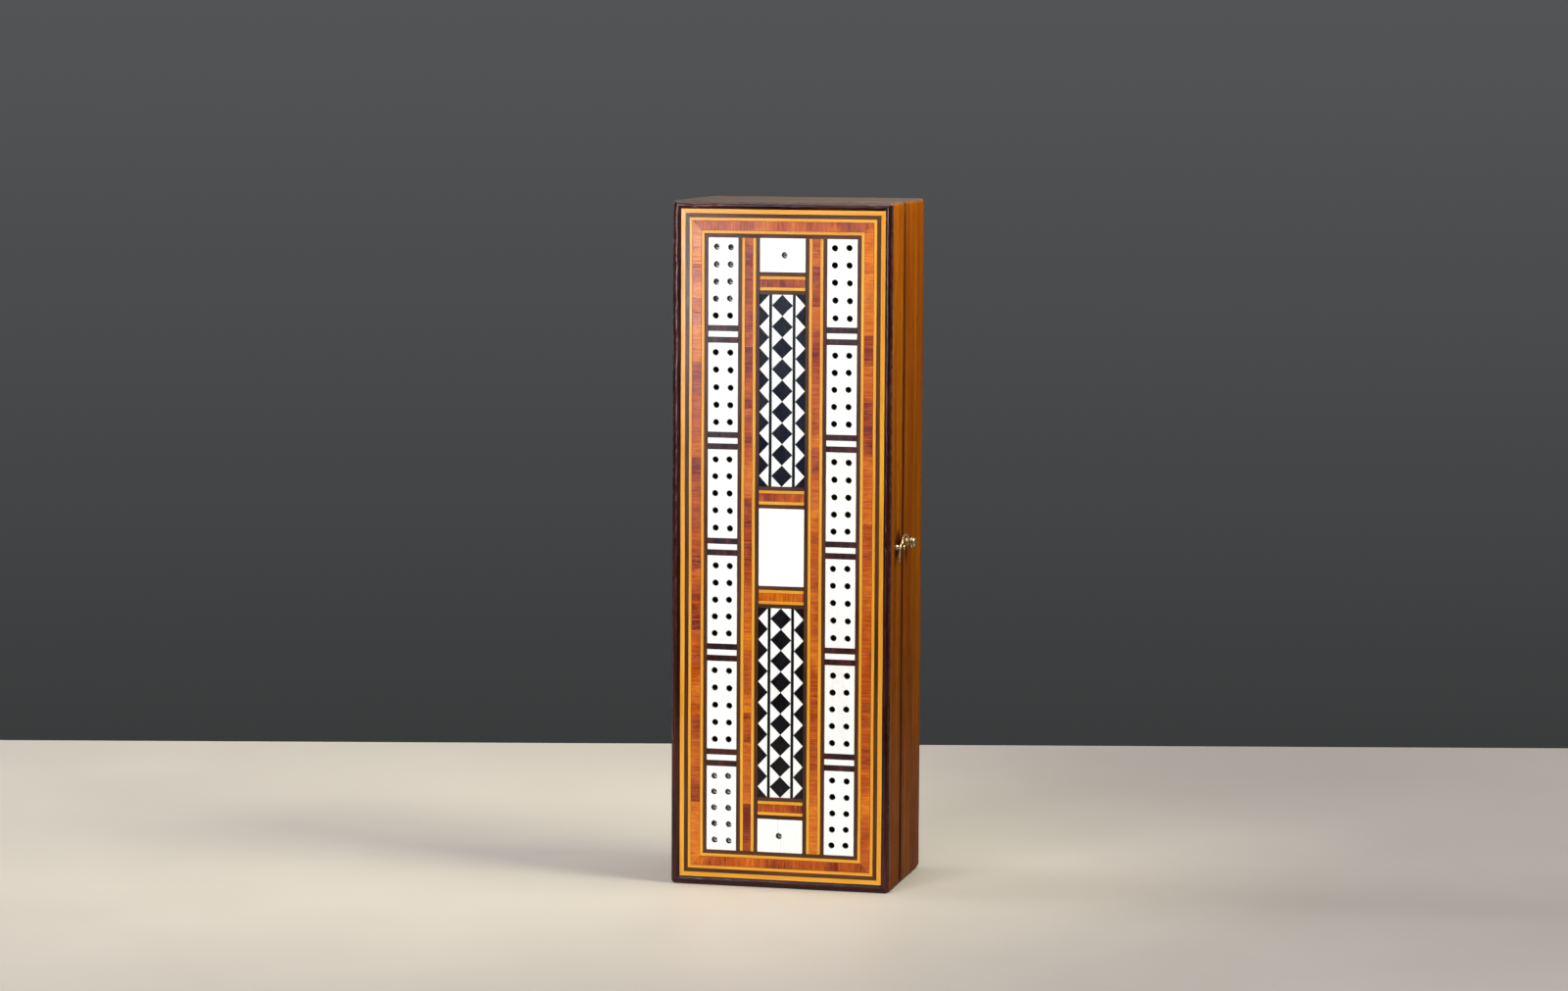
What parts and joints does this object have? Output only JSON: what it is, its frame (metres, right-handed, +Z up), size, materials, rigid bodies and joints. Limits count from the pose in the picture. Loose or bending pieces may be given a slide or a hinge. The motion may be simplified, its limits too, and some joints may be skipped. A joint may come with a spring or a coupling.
{
  "type": "cribbage box",
  "caption": "Hinged wooden games box whose inlaid lid is a cribbage board with drilled bone tracks; opens on side hinges and is held by a brass hook.",
  "frame": {"origin": "middle of the case's foot, at half its width and half its depth, with the box standing on its short end", "axes": "+Z up along the long side of the board; the pegging board faces -Y; hinges on the -X side, hook on the +X side"},
  "size_m": [0.0944, 0.06, 0.27],
  "materials": {
    "mahogany": "old french polish, straight grain, worn on the arrises",
    "deal": "plain softwood ground, waxed",
    "rosewood": "polished, fine dark streaks",
    "boxwood": "polished, honey coloured, very fine grain",
    "kingwood": "polished cross-grain banding, striped orange to dark red",
    "dark_string": "dyed stringing, satin",
    "ebony": "polished black",
    "bone": "polished bone with faint grain",
    "brass": "aged, slightly dull"
  },
  "bodies": {
    "base": {"base_side_latch": "mahogany", "base_end_top": "mahogany", "base_side_hinge": "mahogany", "base_end_bottom": "mahogany", "back_panel": "mahogany", "partition_lower": "mahogany", "partition_upper": "mahogany", "hinge_lower_base_leaf": "brass", "hinge_lower_pin": "brass", "hinge_upper_base_leaf": "brass", "hinge_upper_pin": "brass", "pivot_stud": "brass", "peg_bone_1": "bone", "peg_bone_2": "bone", "peg_ebony_1": "ebony", "peg_ebony_2": "ebony"},
    "lid": {"lid_side_latch": "mahogany", "lid_end_top": "mahogany", "lid_side_hinge": "mahogany", "lid_end_bottom": "mahogany", "lid_panel": "deal", "rosewood_border": "rosewood", "track_divider_left_1": "rosewood", "track_divider_left_2": "rosewood", "track_divider_left_3": "rosewood", "track_divider_left_4": "rosewood", "track_divider_left_5": "rosewood", "track_divider_right_1": "rosewood", "track_divider_right_2": "rosewood", "track_divider_right_3": "rosewood", "track_divider_right_4": "rosewood", "track_divider_right_5": "rosewood", "perimeter_banding": "boxwood", "long_band_left": "kingwood", "long_band_right": "kingwood", "cross_band_1": "kingwood", "cross_band_2": "kingwood", "cross_band_3": "kingwood", "cross_band_4": "kingwood", "mosaic_panel_top": "ebony", "mosaic_panel_bottom": "ebony", "peg_plate_left_1": "bone", "peg_plate_left_2": "bone", "peg_plate_left_3": "bone", "peg_plate_left_4": "bone", "peg_plate_left_5": "bone", "peg_plate_left_6": "bone", "peg_plate_right_1": "bone", "peg_plate_right_2": "bone", "peg_plate_right_3": "bone", "peg_plate_right_4": "bone", "peg_plate_right_5": "bone", "peg_plate_right_6": "bone", "game_plate_top": "bone", "game_plate_bottom": "bone", "centre_plate": "bone", "hinge_lower_lid_leaf": "brass", "hinge_upper_lid_leaf": "brass", "catch_stud": "brass"},
    "hook": {"hook": "brass"}
  },
  "joints": [
    {"name": "lid_hinge", "type": "hinge", "parent": "base", "child": "lid", "pos_m": [-0.0449, -0.0075, 0.135], "axis": [0, 0, -1], "range_deg": [0, 180]},
    {"name": "hook_pivot", "type": "hinge", "parent": "base", "child": "hook", "pos_m": [0.0462, -0.0005, 0.1355], "axis": [-1, 0, 0], "range_deg": [0, 110]}
  ]
}
